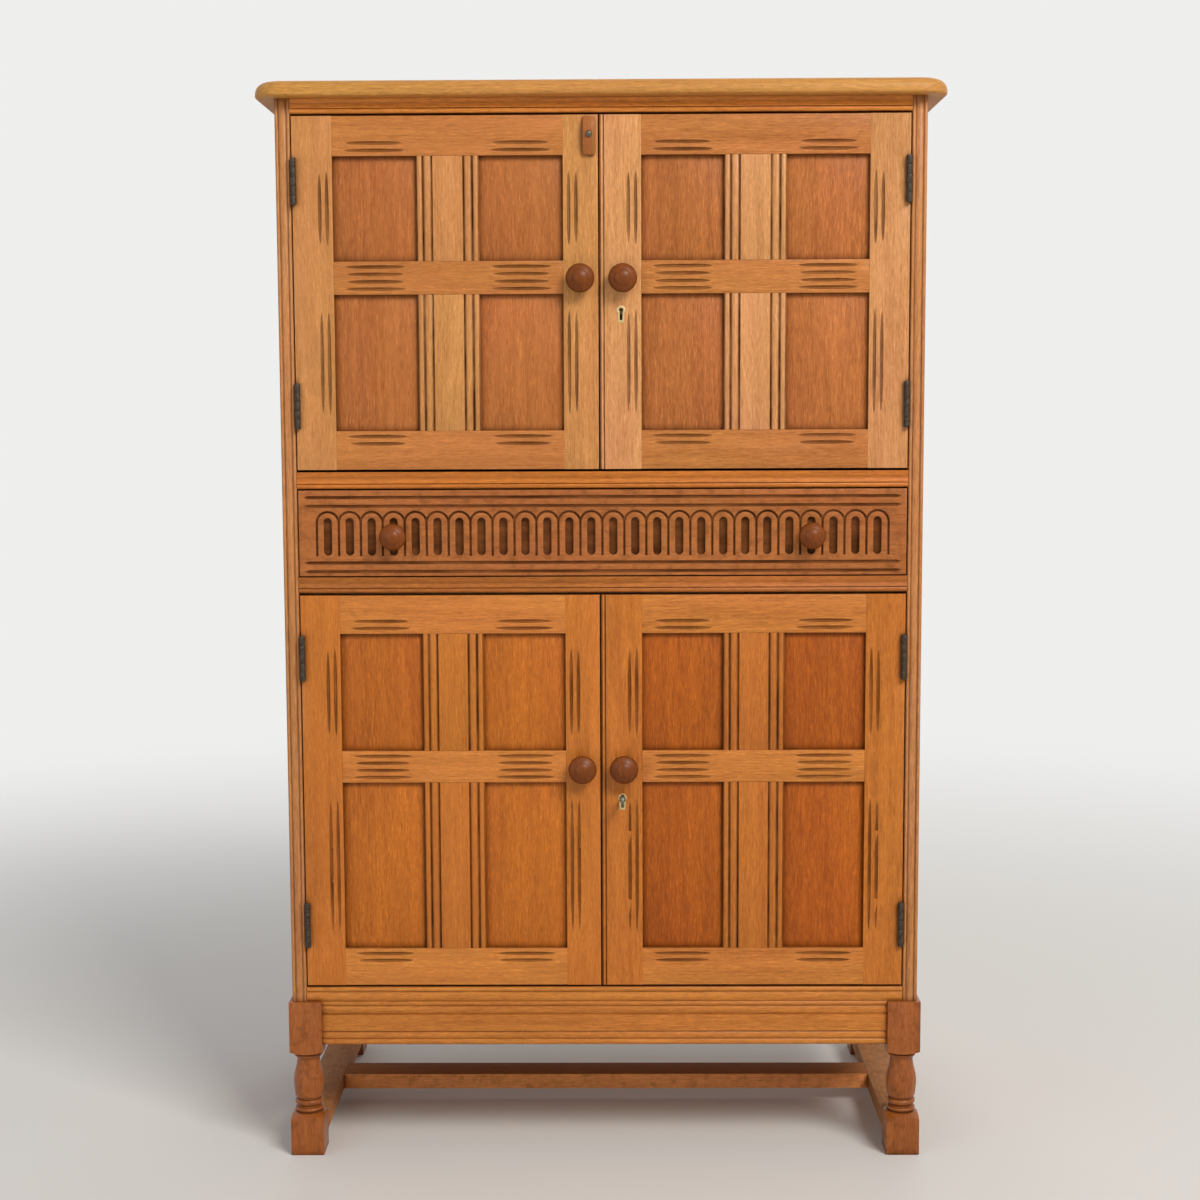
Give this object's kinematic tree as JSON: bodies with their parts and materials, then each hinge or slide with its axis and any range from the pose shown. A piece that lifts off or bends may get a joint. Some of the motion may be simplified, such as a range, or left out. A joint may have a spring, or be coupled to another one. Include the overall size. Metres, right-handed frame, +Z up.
{
  "type": "bar cabinet",
  "caption": "Oak drinks cabinet on turned legs: panelled upper and lower double doors on hinges, a sliding carved drawer between, moulded top and stretchers.",
  "frame": {"origin": "on the floor, under the middle of the cabinet's width and depth (knobs included)", "axes": "+Z up, +X to the right as seen from the front, -Y out of the front; the drawer slides along -Y and the doors turn about Z"},
  "size_m": [0.8394, 0.448, 1.3387],
  "materials": {
    "oak": "satin",
    "oak_panel": "satin",
    "oak_dark": "satin",
    "plain_wood": "matte",
    "plywood": "matte",
    "hinge_metal": "satin",
    "steel": "satin",
    "brass": "satin"
  },
  "bodies": {
    "carcass": {"top_board": "oak", "frieze_rail": "oak", "side_stiles": "oak", "side_rails": "oak", "side_panels": "oak_panel", "rear_top_rail": "plain_wood", "back_panel": "plywood", "upper_deck": "plain_wood", "upper_drawer_rail": "oak", "lower_deck": "plain_wood", "lower_drawer_rail": "oak", "base_board": "plain_wood", "bottom_rail": "oak", "upper_shelf": "plain_wood", "lower_shelf": "plain_wood", "shelf_battens": "plain_wood", "stops": "plain_wood", "front_apron": "oak", "side_aprons": "oak", "rear_apron": "oak", "front_legs": "oak_dark", "rear_legs": "oak_dark", "side_stretchers": "oak", "cross_stretcher": "oak", "hinge_frame_leaves": "hinge_metal", "hinge_pins": "steel"},
    "upper_left_door": {"upper_left_uprights": "oak", "upper_left_rails": "oak", "upper_left_panels": "oak_panel", "upper_left_knob": "oak_dark", "upper_left_hinge_leaves": "hinge_metal", "turn_button_screw": "steel"},
    "upper_right_door": {"upper_right_uprights": "oak", "upper_right_rails": "oak", "upper_right_panels": "oak_panel", "upper_right_knob": "oak_dark", "upper_right_hinge_leaves": "hinge_metal", "upper_escutcheon": "brass", "upper_lock_case": "steel"},
    "lower_left_door": {"lower_left_uprights": "oak", "lower_left_rails": "oak", "lower_left_panels": "oak_panel", "lower_left_knob": "oak_dark", "lower_left_hinge_leaves": "hinge_metal"},
    "lower_right_door": {"lower_right_uprights": "oak", "lower_right_rails": "oak", "lower_right_panels": "oak_panel", "lower_right_knob": "oak_dark", "lower_right_hinge_leaves": "hinge_metal", "lower_escutcheon": "brass", "lower_lock_case": "steel"},
    "drawer": {"drawer_front": "oak_dark", "drawer_sides": "plain_wood", "drawer_back": "plain_wood", "drawer_bottom": "plywood", "drawer_knobs": "oak_dark"},
    "turn_button": {"turn_button": "oak_dark"},
    "upper_lock_bolt": {"upper_lock_bolt": "brass"},
    "lower_lock_bolt": {"lower_lock_bolt": "brass"},
    "lower_key": {"lower_key": "steel"}
  },
  "joints": [
    {"name": "upper_left_door_hinge", "type": "hinge", "parent": "carcass", "child": "upper_left_door", "pos_m": [-0.3725, -0.2007, 1.0846], "axis": [0, 0, -1], "range_deg": [0, 170]},
    {"name": "upper_right_door_hinge", "type": "hinge", "parent": "carcass", "child": "upper_right_door", "pos_m": [0.3725, -0.2007, 1.0846], "axis": [0, 0, 1], "range_deg": [0, 170]},
    {"name": "lower_left_door_hinge", "type": "hinge", "parent": "carcass", "child": "lower_left_door", "pos_m": [-0.3725, -0.2007, 0.4684], "axis": [0, 0, -1], "range_deg": [0, 170]},
    {"name": "lower_right_door_hinge", "type": "hinge", "parent": "carcass", "child": "lower_right_door", "pos_m": [0.3725, -0.2007, 0.4684], "axis": [0, 0, 1], "range_deg": [0, 170]},
    {"name": "drawer_slide", "type": "slide", "parent": "carcass", "child": "drawer", "axis": [0, -1, 0], "range_m": [0, 0.3]},
    {"name": "turn_button_pivot", "type": "hinge", "parent": "upper_left_door", "child": "turn_button", "pos_m": [-0.0147, -0.201, 1.2741], "axis": [0, -1, 0], "range_deg": [-90, 90]},
    {"name": "upper_bolt_slide", "type": "slide", "parent": "upper_right_door", "child": "upper_lock_bolt", "axis": [-1, 0, 0], "range_m": [0, 0.008]},
    {"name": "lower_key_turn", "type": "hinge", "parent": "lower_right_door", "child": "lower_key", "pos_m": [0.0239, -0.197, 0.46055], "axis": [0, -1, 0], "range_deg": [0, 180]},
    {"name": "lower_bolt_slide", "type": "slide", "parent": "lower_right_door", "child": "lower_lock_bolt", "axis": [-1, 0, 0], "range_m": [0, 0.008]}
  ],
  "couplings": [
    {"joint": "lower_bolt_slide", "follows": "lower_key_turn", "m_per_rad": 0.002546}
  ]
}
